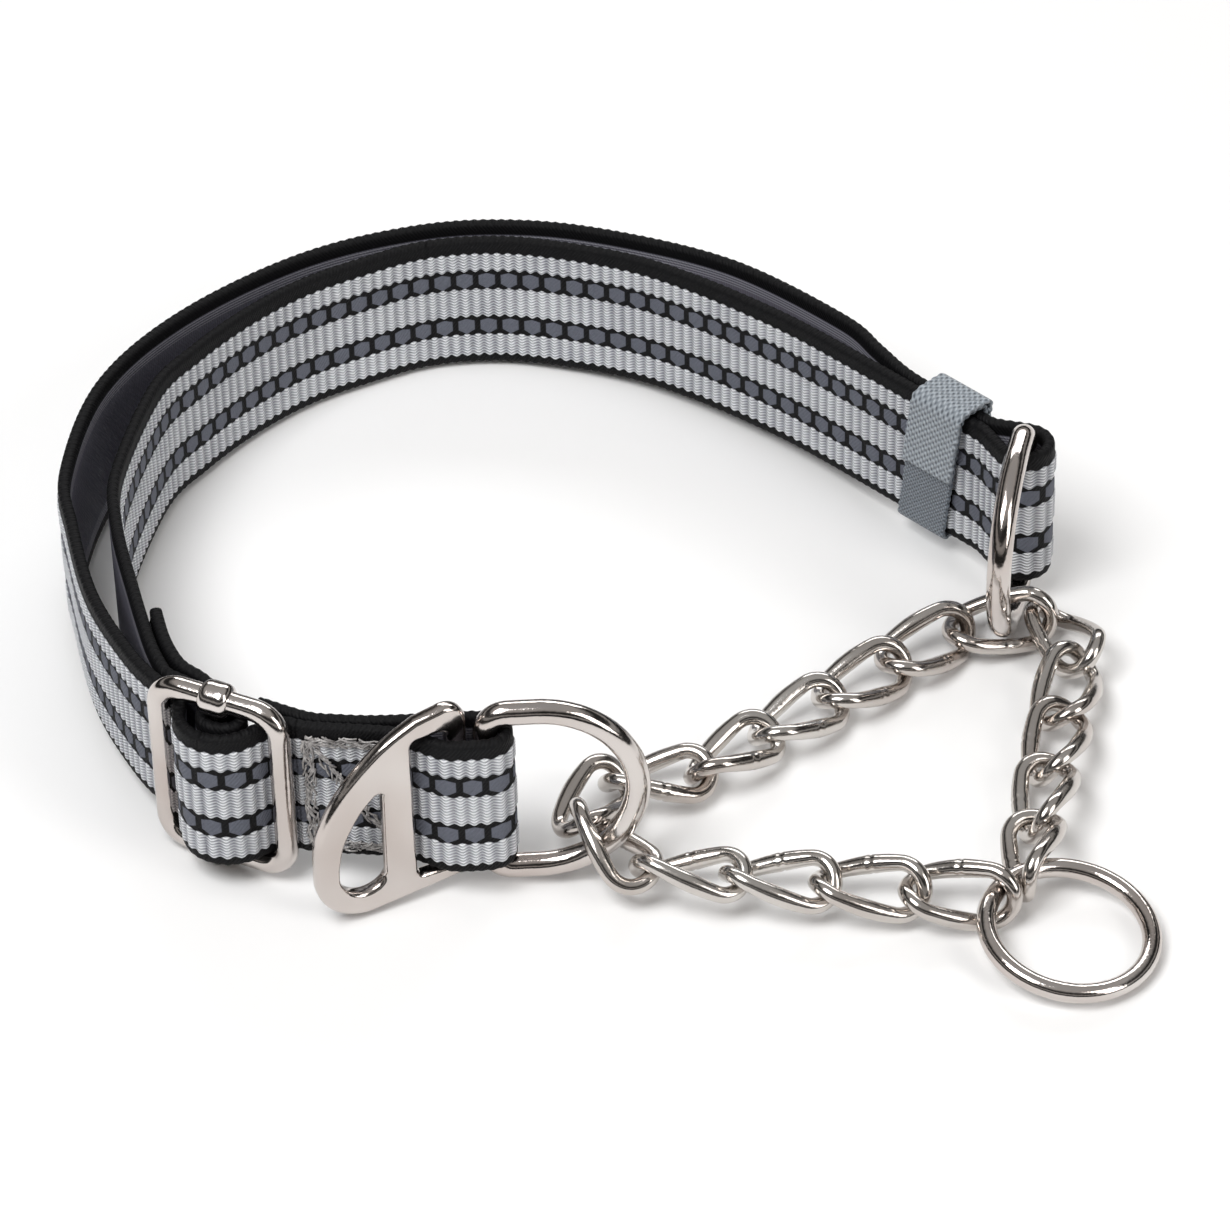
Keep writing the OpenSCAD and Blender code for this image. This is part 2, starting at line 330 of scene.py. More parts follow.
class Wire:
    """A value in a material's node tree that takes plain arithmetic."""

    def __init__(self, tree: bpy.types.NodeTree, socket: Socket) -> None:
        """Holds a node's output socket."""
        self.tree = tree
        self.socket = socket

    def op(self, name: str, *others: "Wire | float", clamp: bool = False) -> "Wire":
        """A Math node with this value first.

        Args:
            name: The node's operation.
            others: Its further values.
            clamp: Whether the result is held between 0 and 1.

        Returns:
            The node's result.
        """
        node = self.tree.nodes.new("ShaderNodeMath")
        node.operation = name
        node.use_clamp = clamp
        self.tree.links.new(self.socket, node.inputs[0])
        for i, other in enumerate(others, 1):
            if isinstance(other, Wire):
                self.tree.links.new(other.socket, node.inputs[i])
            else:
                node.inputs[i].default_value = float(other)
        return Wire(self.tree, node.outputs[0])

    def __add__(self, other: "Wire | float") -> "Wire":
        """Sum."""
        return self.op("ADD", other)

    def __mul__(self, other: "Wire | float") -> "Wire":
        """Product."""
        return self.op("MULTIPLY", other)

    def __sub__(self, other: "Wire | float") -> "Wire":
        """Difference."""
        return self.op("SUBTRACT", other)

    def __rsub__(self, other: float) -> "Wire":
        """A number less this."""
        return (self * -1.0) + other


Value = Wire | np.ndarray


def cosine(x: Value) -> Value:
    """Cosine of x turns."""
    if isinstance(x, Wire):
        return (x * (2 * math.pi)).op("COSINE")
    return np.cos(2 * np.pi * x)


def fract(x: Value) -> Value:
    """The part of x past the whole number below it."""
    return x.op("FRACT") if isinstance(x, Wire) else x - np.floor(x)


def size_of(x: Value) -> Value:
    """Absolute value."""
    return x.op("ABSOLUTE") if isinstance(x, Wire) else np.abs(x)


def larger(a: Value, b: Value | float) -> Value:
    """The larger of two values."""
    return a.op("MAXIMUM", b) if isinstance(a, Wire) else np.maximum(a, b)


def clipped(x: Value) -> Value:
    """x held between 0 and 1."""
    return x.op("ADD", 0.0, clamp=True) if isinstance(x, Wire) else np.clip(x, 0, 1)


def inside(distance: Value, soft: float) -> Value:
    """1 where the distance is below zero, fading over a soft edge."""
    return clipped(0.5 - distance * (1.0 / soft))


@dataclass(frozen=True)
class FaceWeave:
    """Silver ribbed bands, two rows of hexagons and black selvedges.

    Heights are across the webbing, from its lower selvedge.
    """

    bands: tuple[tuple[float, float], ...] = ((1.9, 6.0), (9.8, 15.2), (19.0, 22.3))
    rows: tuple[float, ...] = (7.9, 17.1)
    scallop: float = 0.42
    hex_half: float = 1.38
    hex_top: tuple[float, float] = (0.3, 1.35)
    hex_foot: tuple[float, float] = (0.62, 1.72)
    thread_pitch: float = 0.56
    thread_kink: float = 1.1
    rib_height: float = 0.3
    band_height: float = 0.02
    hex_height: float = 0.16

    def crest(self, u: Value) -> Value:
        """The ribs' crests along the webbing, 0 to 1."""
        return cosine(u * (1.0 / RIB_PITCH)) * 0.5 + 0.5

    def silver(self, u: Value, v: Value, soft: float = 0.12) -> Value:
        """Where the silver ribs show.

        Args:
            u: Length along the webbing.
            v: Height across it.
            soft: Width of the fading edge.

        Returns:
            1 inside the ribbed bands.
        """
        total: Value | None = None
        bulge = self.crest(u) * self.scallop
        for low, high in self.bands:
            middle, half = (low + high) / 2, (high - low) / 2
            part = inside(size_of(v - middle) - bulge + (0.2 - half), soft)
            total = part if total is None else total + part
        return total

    def hexes(self, u: Value, v: Value, soft: float = 0.12) -> Value:
        """Where the slate hexagons show.

        Args:
            u: Length along the webbing.
            v: Height across it.
            soft: Width of the fading edge.

        Returns:
            1 inside the hexagons.
        """
        along = size_of((fract(u * (1.0 / HEX_PITCH)) - 0.5) * HEX_PITCH)
        total: Value | None = None
        for row in self.rows:
            up = v - row
            slope, reach = self.hex_top
            edge = larger(along - self.hex_half, up + along * slope - reach)
            slope, reach = self.hex_foot
            edge = larger(edge, along * slope - up - reach)
            part = inside(edge, soft)
            total = part if total is None else total + part
        return total

    def thread(self, u: Value, v: Value) -> Value:
        """Fine zig-zag threads across the ribs, -1 to 1."""
        kink = size_of(fract(u * (1.0 / RIB_PITCH)) - 0.5) * self.thread_kink
        return cosine(v * (1.0 / self.thread_pitch) + kink)

    def relief(self, u: Value, v: Value) -> Value:
        """Height of the face over its ground, in millimetres."""
        silver = self.silver(u, v, 0.4)
        ribs = silver * (self.crest(u) * self.rib_height + self.band_height)
        return ribs + self.hexes(u, v, 0.5) * self.hex_height


WEAVE = FaceWeave()


# ---- materials ----


class Finish:
    """A material made of nodes, with a Principled shader to dress."""

    def __init__(self, name: str, roughness: float, metallic: float = 0.0) -> None:
        """Makes the material.

        Args:
            name: The material's name.
            roughness: The shader's roughness where nothing else sets it.
            metallic: 1 on metal.
        """
        self.material = bpy.data.materials.new(name)
        self.material.use_nodes = True
        self.tree = self.material.node_tree
        self.shader = self.tree.nodes["Principled BSDF"]
        self.shader.inputs["Roughness"].default_value = roughness
        self.shader.inputs["Metallic"].default_value = metallic

    def node(self, kind: str, **settings: float | str | bool) -> bpy.types.Node:
        """A new node with its settings."""
        made = self.tree.nodes.new(kind)
        for key, value in settings.items():
            setattr(made, key, value)
        return made

    def link(self, a: Socket, b: Socket) -> None:
        """Joins two sockets."""
        self.tree.links.new(a, b)

    def uv(self) -> tuple[Wire, Wire]:
        """The surface's own length and width, in millimetres."""
        split = self.node("ShaderNodeSeparateXYZ")
        source = self.node("ShaderNodeUVMap", uv_map="weave")
        self.link(source.outputs["UV"], split.inputs[0])
        return (
            Wire(self.tree, split.outputs[0]) * UV_SCALE,
            Wire(self.tree, split.outputs[1]) * UV_SCALE,
        )

    def attribute(self, name: str) -> Wire:
        """A point attribute's value."""
        found = self.node("ShaderNodeAttribute", attribute_name=name)
        return Wire(self.tree, found.outputs["Fac"])

    def noise(
        self, scale: float, detail: float, stretch: Sequence[float] = (1, 1, 1)
    ) -> Wire:
        """Noise on Object coordinates.

        Args:
            scale: Cells to a metre.
            detail: Octaves.
            stretch: Scale of each axis.

        Returns:
            The noise, about 0 to 1.
        """
        place = self.node("ShaderNodeTexCoord")
        turn = self.node("ShaderNodeMapping")
        turn.inputs["Scale"].default_value = stretch
        made = self.node("ShaderNodeTexNoise")
        made.inputs["Scale"].default_value = scale
        made.inputs["Detail"].default_value = detail
        self.link(place.outputs["Object"], turn.inputs["Vector"])
        self.link(turn.outputs["Vector"], made.inputs["Vector"])
        return Wire(self.tree, made.outputs["Fac"])

    def mix(self, share: Wire, a: Colour | Socket, b: Colour | Socket) -> Socket:
        """A colour between two.

        Args:
            share: 0 gives a, 1 gives b.
            a: A colour or a colour socket.
            b: A colour or a colour socket.

        Returns:
            The mixed colour's socket.
        """
        made = self.node("ShaderNodeMix", data_type="RGBA")
        self.link(share.socket, made.inputs["Factor"])
        for key, value in ((6, a), (7, b)):
            if isinstance(value, Socket):
                self.link(value, made.inputs[key])
            else:
                made.inputs[key].default_value = (*value, 1.0)
        return made.outputs[2]

    def colour(self, value: Socket) -> None:
        """Links the base colour."""
        self.link(value, self.shader.inputs["Base Color"])

    def rough(self, value: Wire) -> None:
        """Links the roughness."""
        self.link(value.socket, self.shader.inputs["Roughness"])

    def bump(self, height: Wire, depth: float) -> None:
        """Raises the surface by a height of 0 to 1 times depth in metres."""
        made = self.node("ShaderNodeBump")
        made.inputs["Distance"].default_value = depth
        made.inputs["Strength"].default_value = 1.0
        self.link(height.socket, made.inputs["Height"])
        self.link(made.outputs["Normal"], self.shader.inputs["Normal"])


def scaled(colour: Colour, by: float) -> Colour:
    """A lighter or darker colour."""
    return tuple(c * by for c in colour)


@dataclass(frozen=True)
class WebbingFinish:
    """Silver and slate jacquard webbing with black selvedges."""

    # The silver's crest colour holds a painted highlight and its groove colour a painted shade.
    silver_crest_highlight: Colour = (0.92, 0.94, 0.97)
    silver_groove_shade: Colour = (0.20, 0.21, 0.25)
    slate: Colour = (0.115, 0.123, 0.152)
    black: Colour = (0.0015, 0.0015, 0.002)
    back: Colour = (0.1, 0.098, 0.122)
    back_line: Colour = (0.33, 0.33, 0.37)
    black_fibre: Colour = (0.005, 0.005, 0.007)
    back_edge: float = 10.2
    stripe_at: float = 9.3
    stripe_half: float = 0.85
    stripe_pitch: float = 0.5
    back_rib: float = 0.47
    twill: tuple[float, float] = (0.62, 0.8)

    def make(self, name: str) -> Material:
        """Builds the material.

        Args:
            name: The material's name.

        Returns:
            The material.
        """
        f = Finish(name, 0.5)
        u, v = f.uv()
        front = f.attribute("front")
        thread = WEAVE.thread(u, v)
        crest = WEAVE.crest(u)
        silver = WEAVE.silver(u, v)
        hexes = WEAVE.hexes(u, v)
        fuzz = f.noise(2600.0, 4.0)
        patch = f.noise(120.0, 2.0)
        # Partly the silver yarn's own colour and partly painted light: the rib crests and zig-zag threads are painted
        # bright as glints, and the grooves between ribs are painted dark as shade; patch adds random tone.
        glint = crest * 0.5 + thread * 0.42 * (crest * 0.6 + 0.4)
        shine = clipped(glint + (patch - 0.5) * 0.4 + 0.26)
        silver_with_painted_glints = f.mix(shine, self.silver_groove_shade, self.silver_crest_highlight)
        slate_colour = f.mix(fuzz, scaled(self.slate, 0.8), scaled(self.slate, 1.25))
        long, wide = self.twill
        twill = cosine(u * (1 / long) + v * (1 / wide)) * 0.5 + 0.5
        fibre = clipped((twill * fuzz) * 0.5)
        black_colour = f.mix(fibre, self.black, self.black_fibre)
        face = f.mix(hexes, black_colour, slate_colour)
        face = f.mix(clipped(silver), face, silver_with_painted_glints)
        off = size_of(v - STRAP_WIDTH / 2)
        edge = clipped((off - self.back_edge) * 5.0)
        stripe = inside(size_of(off - self.stripe_at) - self.stripe_half, 0.2)
        lines = stripe * clipped(cosine(v * (1 / self.stripe_pitch)) * 1.4 + 0.1)
        rib = cosine(u * (1 / self.back_rib)) * 0.5 + 0.5
        lit = clipped(rib * 0.5 + fuzz * 0.4)
        back = f.mix(lit, self.back, scaled(self.back, 1.7))
        back = f.mix(lines, back, self.back_line)
        back = f.mix(edge, back, black_colour)
        f.colour(f.mix(front, back, face))
        woven = clipped(silver) * front
        f.rough(clipped(0.66 - woven * 0.32 + (fuzz - 0.5) * 0.2))
        height = (
            woven * (thread * 0.36 + crest * 0.12)
            + (1.0 - woven) * twill * 0.16
            + fuzz * 0.3
        )
        f.bump(height, 0.00034)
        f.shader.inputs["Specular IOR Level"].default_value = 0.2
        return f.material


@dataclass(frozen=True)
class KeeperFinish:
    """Grey-blue polyester tape in a plain weave."""

    light: Colour
    dark: Colour
    cell: float

    def make(self, name: str) -> Material:
        """Builds the material.

        Args:
            name: The material's name.

        Returns:
            The material.
        """
        f = Finish(name, 0.55)
        u, v = f.uv()
        a = cosine(u * (1 / self.cell))
        b = cosine(v * (1 / self.cell))
        basket = a * b * 0.5 + 0.5
        strands = cosine(v * (2.0 / self.cell) + u * (0.6 / self.cell)) * 0.5 + 0.5
        fuzz = f.noise(2400.0, 4.0)
        lit = clipped(basket * 0.85 + strands * 0.25 + fuzz * 0.25 - 0.12)
        f.colour(f.mix(lit, self.dark, self.light))
        f.bump(basket * 0.7 + strands * 0.25 + fuzz * 0.2, 0.0004)
        f.shader.inputs["Sheen Weight"].default_value = 0.15
        return f.material


@dataclass(frozen=True)
class NickelFinish:
    """Polished nickel plate with faint handling marks."""

    colour: Colour = (0.66, 0.625, 0.6)
    roughness: float = 0.1
    dull: Colour = (0.8, 0.75, 0.73)

    def make(self, name: str) -> Material:
        """Builds the material.

        Args:
            name: The material's name.

        Returns:
            The material.
        """
        f = Finish(name, self.roughness, 1.0)
        smear = f.noise(90.0, 3.0)
        pits = f.noise(1500.0, 2.0, (1.0, 1.0, 0.4))
        shade = f.noise(45.0, 2.0)
        dull = tuple(c * k for c, k in zip(self.colour, self.dull))
        f.colour(f.mix(clipped(shade * 3.0 - 1.0), dull, self.colour))
        f.rough(clipped(smear * 0.14 + pits * 0.06 + (self.roughness - 0.07)))
        f.bump(smear * 0.8 + pits * 0.2, 0.00012)
        return f.material


@dataclass(frozen=True)
class ThreadFinish:
    """Clear grey-brown nylon sewing thread."""

    light: Colour = (0.56, 0.54, 0.53)
    dark: Colour = (0.1, 0.092, 0.09)

    def make(self, name: str) -> Material:
        """Builds the material.

        Args:
            name: The material's name.

        Returns:
            The material.
        """
        f = Finish(name, 0.22)
        strand = clipped(f.noise(900.0, 2.0) * 2.0 - 0.5)
        f.colour(f.mix(strand, self.dark, self.light))
        f.bump(f.noise(3000.0, 2.0), 0.0001)
        f.shader.inputs["Specular IOR Level"].default_value = 0.7
        return f.material


# ---- mesh builders ----


def finished(
    name: str, bm: BMesh, material: Material, place: Matrix
) -> Object:
    """Makes a smooth-shaded object of a mesh in millimetres.

    Args:
        name: The object's name.
        bm: The mesh, which is freed.
        material: Its material.
        place: Local millimetres to the part's frame.

    Returns:
        The object, at the origin.
    """
    bm.transform(place)
    if place.determinant() < 0:
        bmesh.ops.reverse_faces(bm, faces=bm.faces)
    bmesh.ops.scale(bm, vec=(MM, MM, MM), verts=bm.verts)
    mesh = bpy.data.meshes.new(name)
    bm.to_mesh(mesh)
    bm.free()
    for face in mesh.polygons:
        face.use_smooth = True
    mesh.materials.append(material)
    obj = bpy.data.objects.new(name, mesh)
    bpy.context.scene.collection.objects.link(obj)
    return obj


@dataclass(frozen=True)
class TapeSection:
    """The cross-section of a woven tape, walked once round its edge."""

    width: float
    thick: float
    face_steps: int
    back_steps: int

    def walk(self) -> tuple[np.ndarray, np.ndarray, np.ndarray]:
        """Height across, depth through, and 1 on the patterned face.

        Returns:
            Three arrays, the first point repeated at the end.
        """
        r, w = self.thick / 2, self.width
        side = 0.8 * r
        points: list[Point3] = []
        for i in range(self.face_steps + 1):
            points.append((side + (w - 2 * side) * i / self.face_steps, r, 1.0))
        for a in (60, 30, 0, -30, -60):
            c, h = math.cos(math.radians(a)), math.sin(math.radians(a))
            points.append((w - side + side * c, r * h, 1.0 if a > 0 else 0.0))
        for i in range(self.back_steps + 1):
            points.append((w - side - (w - 2 * side) * i / self.back_steps, -r, 0.0))
        for a in (-60, -30, 0, 30, 60):
            c, h = math.cos(math.radians(a)), math.sin(math.radians(a))
            points.append((side - side * c, r * h, 1.0 if a > 0 else 0.0))
        points.append(points[0])
        return tuple(np.array(column) for column in zip(*points))


Relief = Callable[[np.ndarray, np.ndarray], np.ndarray]


class Tape:
    """Builds woven tape along a line of frames, with a rope-like edge."""

    rope: float = 0.13
    rope_pitch: float = 1.5
    rope_lean: float = 1.2

    def __init__(self, section: TapeSection, relief: Relief | None) -> None:
        """Keeps the section and the face's relief."""
        self.section = section
        self.relief = relief

    def build(
        self, at: np.ndarray, out: np.ndarray, up: np.ndarray, run: np.ndarray
    ) -> BMesh:
        """Builds the tape.

        Args:
            at: Lower edge of the centre line, one row each.
            out: Unit direction that the patterned face looks in, one row each.
            up: Unit direction across the tape, one row each.
            run: Length along the tape at each row.

        Returns:
            A closed mesh with a weave UV map and a front attribute.
        """
        v, h, front = self.section.walk()
        n, m = len(at), len(v)
        depth = np.tile(h, (n, 1))
        across = np.tile(v, (n, 1))
        along = np.tile(run[:, None], (1, m))
        if self.relief is not None:
            face = np.where(h > 0.9 * h.max(), 1.0, 0.0)
            depth = depth + face * self.relief(along, across)
        half = self.section.width / 2
        edge = np.clip(np.abs(across - half) - half + 1.0, 0, 1)
        turns = 2 * np.pi * along / self.rope_pitch + depth * self.rope_lean
        bulk = across + np.sign(across - half) * edge * (self.rope * np.cos(turns))
        world = at[:, None, :] + out[:, None, :] * depth[..., None]
        world = world + up[:, None, :] * bulk[..., None]
        bm = bmesh.new()
        layer = bm.verts.layers.float.new("front")
        uv = bm.loops.layers.uv.new("weave")
        grid = bmesh.ops.create_grid(bm, x_segments=n - 1, y_segments=m - 1, size=1.0)
        bm.verts.index_update()
        where = {}
        for vert in grid["verts"]:
            i = round((vert.co.x + 1) / 2 * (n - 1))
            j = round((vert.co.y + 1) / 2 * (m - 1))
            where[vert.index] = (i, j)
            vert.co = Vector(world[i, j])
            vert[layer] = front[j]
        for face in bm.faces:
            for loop in face.loops:
                i, j = where[loop.vert.index]
                loop[uv].uv = (along[i, j] / UV_SCALE, across[i, j] / UV_SCALE)
        bmesh.ops.remove_doubles(bm, verts=bm.verts, dist=1e-4)
        rims = [e for e in bm.edges if e.is_boundary]
        bmesh.ops.holes_fill(bm, edges=rims, sides=0)
        bmesh.ops.recalc_face_normals(bm, faces=bm.faces)
        return bm


class Tube:
    """Sweeps a round section along a line, closed or with domed ends."""

    def __init__(self, sides: int) -> None:
        """Keeps the number of sides."""
        self.sides = sides

    def add(
        self, bm: BMesh, line: Sequence[Vector], radius: Callable[[float], float],
        closed: bool, hint: Sequence[Vector] | None = None,
    ) -> None:
        """Adds a swept tube to a mesh.

        Args:
            bm: The mesh that takes the tube.
            line: Centre points, not repeated at the end of a closed line.
            radius: The section's radius at a share of the way along.
            closed: Whether the line joins itself.
            hint: A direction across the line at each point, for closed lines.
        """
        n, m = len(line), self.sides
        rows = n + 1 if closed else n
        side = None
        frames: list[tuple[Vector, Vector]] = []
        for i in range(n):
            if closed:
                t = line[(i + 1) % n] - line[i - 1]
            else:
                t = line[min(i + 1, n - 1)] - line[max(i - 1, 0)]
            t = t.normalized()
            if hint is not None:
                seed = hint[i]
            elif side is not None:
                seed = side
            else:
                seed = Vector((0, 0, 1)) if abs(t.z) < 0.9 else Vector((1, 0, 0))
            side = (seed - t * seed.dot(t)).normalized()
            frames.append((side, t.cross(side)))
        grid = bmesh.ops.create_grid(bm, x_segments=rows - 1, y_segments=m, size=1.0)
        made = grid["verts"]
        for vert in made:
            i = round((vert.co.x + 1) / 2 * (rows - 1))
            j = round((vert.co.y + 1) / 2 * m)
            a, b = frames[i % n]
            w = 2 * math.pi * (j % m) / m
            r = radius((i % n) / (n if closed else n - 1))
            vert.co = line[i % n] + (a * math.cos(w) + b * math.sin(w)) * r
        bmesh.ops.remove_doubles(bm, verts=made, dist=1e-5)
        if not closed:
            ends = [v for v in made if v.is_valid]
            rims = {e for v in ends for e in v.link_edges if e.is_boundary}
            bmesh.ops.holes_fill(bm, edges=list(rims), sides=0)


def wire_loop(
    name: str, line: Sequence[Vector], radius: Callable[[float], float],
    hints: Sequence[Vector], nickel: Material, place: Matrix, sides: int = WIRE_SIDES,
) -> Object:
    """Makes a closed loop of wire.

    Args:
        name: The loop's name.
        line: Centre points.
        radius: The wire's radius at a share of the way round.
        hints: A direction across the line at each point.
        nickel: The plating.
        place: Local millimetres to the part's frame.
        sides: Sides of the wire's section.

    Returns:
        The loop.
    """
    bm = bmesh.new()
    Tube(sides).add(bm, line, radius, True, hints)
    bmesh.ops.recalc_face_normals(bm, faces=bm.faces)
    return finished(name, bm, nickel, place)


def bent(line: Sequence[Vector], corner: float, steps: int) -> list[Vector]:
    """Rounds the corners of a closed polyline.

    Args:
        line: Corner points.
        corner: Radius of each bend.
        steps: Points in each bend.

    Returns:
        Points along the rounded line.
    """
    out: list[Vector] = []
    n = len(line)
    for i in range(n):
        p, before, after = line[i], line[i - 1], line[(i + 1) % n]
        a, b = (before - p).normalized(), (after - p).normalized()
        half = a.angle(b) / 2
        reach = corner / math.tan(half)
        centre = p + (a + b).normalized() * (corner / math.sin(half))
        start, end = p + a * reach - centre, p + b * reach - centre
        for k in range(steps + 1):
            out.append(centre + start.slerp(end, k / steps).normalized() * corner)
    return out


def evened(line: Sequence[Vector], step: float) -> list[Vector]:
    """Points at an even spacing round a closed polyline.

    Args:
        line: Its corners, the first not repeated.
        step: Distance between the points.

    Returns:
        The points.
    """
    pts = [*line, line[0]]
    run = [0.0]
    for a, b in zip(pts, pts[1:]):
        run.append(run[-1] + (b - a).length)
    count = max(int(run[-1] / step), 6)
    out, j = [], 0
    for k in range(count):
        s = run[-1] * k / count
        while j < len(run) - 2 and run[j + 1] < s:
            j += 1
        span = run[j + 1] - run[j]
        share = (s - run[j]) / span if span > 1e-9 else 0.0
        out.append(pts[j].lerp(pts[j + 1], share))
    return out


# ---- sub-assemblies ----


@dataclass
class Webbing:
    """The strap, from its sewn tail round the neck to its fixed end."""

    step: float = 0.38
    fold_radius: float = 3.85
    loop_radius: float = 2.6
    loop_slack: float = 1.45
    ring_loop_radius: float = 3.3
    half_gap: float = 1.05

    def line(self) -> StrapLine:
        """The strap's centre line, from the tail to the fixed end."""
        tail = [
            (-16.8, -48.8), (-22, -48.8), (-28, -49.3), (-34, -49.4), (-38.6, -49),
            SLIDE.point(12, -5.3), SLIDE.point(4, -5.3),
        ]
        front = [
            SLIDE.point(12, -3.1), (-40, -50.9), (-36, -51.3), (-31, -51.9),
            (-27.4, -52.8), (-22.5, -55.4), (-19.5, -55.6), (-16.6, -55.4),
        ]
        weave = [
            (-11.6, -3.25), (-10.2, -3.1), (-8.2, -2.4), (-6.6, 0.2), (-5.2, 2.9),
            (-2.8, 4.8), (0, 5.4), (2.8, 4.8), (5.2, 2.9), (6.6, 0.2), (8.2, -2.4),
            (9.8, -3.1),
        ]
        outer = [
            SLIDE.point(-12, -3.3), (-70, -33), (-76.9, -18.5), (-81.3, -1),
            (-83.3, 12.5), (-79.3, 35), (-67.7, 53.3), (-49.1, 68.9), (-30, 76.6),
            (-13.4, 77.7), (3, 74), (22.3, 65.1), (39.6, 49.6), (45.2, 41.1),
            KEEPER.point(-9, -self.half_gap), KEEPER.point(8, -self.half_gap),
        ]
        inner = [
            KEEPER.point(8, self.half_gap), KEEPER.point(-9, self.half_gap),
            (44.7, 36.1), (33.3, 47.4), (24.6, 54.8), (15.4, 61.6), (5.8, 67.2),
            (-5.1, 71), (-16.5, 73.2), (-28.4, 72.1), (-39.2, 67.3), (-48.9, 61.5),
            (-57.6, 53.4), (-65, 44), (-70.8, 33.9), (-75.3, 12), (-74.4, -1),
            (-71, -16), (-67.2, -30.5), SLIDE.point(-12, -5.5),
        ]
        loop_in = [(-7.5, -4.9), (-4.7, -3.2), (-3.1, -1.2)]
        loop_out = [
            (-2.2, -3.5), (-4.6, -5.8), (-7.5, -7.1), (-11.3, -8.3), (-16.2, -12.4),
            (-20.8, -17.8),
        ]
        bar = [
            SLIDE.point(max(x, x * self.loop_slack), y)
            for x, y in arc((0, 0), self.loop_radius, 180, -90, 24)
        ]
        body = (
            list(reversed(spline(tail)))
            + list(reversed(arc(LEFT_RING_AT, self.ring_loop_radius, -85, 85, 20)))
            + list(reversed(spline(front)))
            + [SLIDE.point(*p) for p in reversed(spline(weave, 8))]
            + spline(outer)
            + arc(RIGHT_RING_AT, self.fold_radius, 72, -152, 28)
            + spline(inner)
            + [SLIDE.point(*p) for p in spline(loop_in)]
            + bar
            + [SLIDE.point(*p) for p in spline(loop_out)]
        )
        return StrapLine(body, self.step)

    def piece(
        self, line: StrapLine, name: str, first: int, last: int, phase: float,
        finish: Material,
    ) -> Object:
        """Builds one stretch of the strap.

        Args:
            line: The strap's centre line.
            name: The piece's name.
            first: Its first sample.
            last: Its last sample.
            phase: Added to the length, so that a rib groove meets a cut.
            finish: Its material.

        Returns:
            The piece.
        """
        pick = slice(first, last + 1)
        xy, tangent = line.xy[pick], line.tangent[pick]
        at = np.column_stack([xy, np.zeros(len(xy))])
        out = np.column_stack([-tangent[:, 1], tangent[:, 0], np.zeros(len(xy))])
        up = np.tile([0.0, 0.0, 1.0], (len(xy), 1))
        section = TapeSection(STRAP_WIDTH, STRAP_THICK, 56, 14)
        bm = Tape(section, WEAVE.relief).build(at, out, up, line.s[pick] + phase)
        obj = finished(name, bm, finish, LIFT)
        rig.slot(obj, "webbing")
        return obj

    def build(self, finish: Material) -> list[Object]:
        """Builds the strap in pieces that follow the slide and the neck loop.

        Args:
            finish: The webbing's material.

        Returns:
            The pieces.
        """
        line = self.line()
        half = len(line.s) // 2
        right = line.nearest(SLIDE.point(11.4, -3.1), 0, half)
        crown = line.nearest(SLIDE.point(0, 5.4), 0, half)
        left = line.nearest(SLIDE.point(-11.8, -3.3), crown, half)
        past_half, past_fold = 400, 100
        fold = line.nearest((50, 34), 0, half + past_half)
        inner_end = line.nearest(SLIDE.point(-11.7, -5.5), half)
        back = line.nearest((-28.4, 72.1), fold + past_fold)
        phase = (0.5 - (line.s[crown] / RIB_PITCH) % 1.0) * RIB_PITCH
        cuts = {
            "front_webbing": (0, right),
            "weave_right": (right, crown),
            "weave_left": (crown, left),
            "outer_webbing": (left, fold),
            "fold_webbing": (fold, back),
            "inner_webbing": (back, inner_end),
            "loop_webbing": (inner_end, len(line.s) - 1),
        }
        made = {
            name: self.piece(line, name, a, b, phase, finish)
            for name, (a, b) in cuts.items()
        }
        for name in ("front_webbing", "outer_webbing", "fold_webbing", "inner_webbing"):
            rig.ride(made[name], "webbing")
        spot = self.spot
        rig.blend(made["weave_right"], "slide", "webbing", start=spot(4.0, 0), end=spot(11.0, 0))
        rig.blend(made["weave_left"], "webbing", "slide", start=spot(-11.4, 0), end=spot(-4.0, 0))
        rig.blend(made["loop_webbing"], "webbing", "slide", start=spot(-11.4, 0), end=spot(-4.0, 0))
        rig.replaces(made["front_webbing"], "front_strap")
        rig.replaces(made["outer_webbing"], "long_strap")
        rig.replaces(made["weave_left"], "slide_weave")
        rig.replaces(made["loop_webbing"], "end_loop")
        return list(made.values())

    @staticmethod
    def spot(x: float, y: float) -> Point3:
        """A point of the slide's plan in metres, at mid height."""
        p = LIFT @ Vector((*SLIDE.point(x, y), STRAP_WIDTH / 2))
        return tuple(p * MM)


